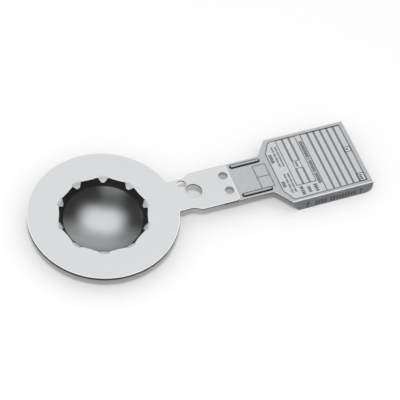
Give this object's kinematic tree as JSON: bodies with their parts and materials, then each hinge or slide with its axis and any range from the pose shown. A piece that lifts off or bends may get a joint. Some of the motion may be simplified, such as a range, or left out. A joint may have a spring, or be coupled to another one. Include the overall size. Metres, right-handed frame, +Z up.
{
  "type": "rupture disc",
  "caption": "Reverse-acting rupture disc: a thin dome held between flat rings, the upper one toothed, with a neck and a folded tag.",
  "frame": {"origin": "middle of the part's footprint, on the surface that it stands on", "axes": "+X from the rings along the neck to the tag, +Z up, from the inlet side to the outlet side"},
  "size_m": [0.2141, 0.092, 0.011],
  "materials": {
    "ring_steel": "fine satin, rolled stainless sheet with bright cut edges",
    "dome_foil": "bright, mirror-like formed foil",
    "tag_steel": "fine diagonal grain, satin grey",
    "tag_print": "flat dark grey marking"
  },
  "bodies": {
    "root": {"outlet_ring": "ring_steel", "rupture_dome": "dome_foil", "inlet_ring": "ring_steel", "id_tag": "tag_steel"}
  },
  "joints": []
}
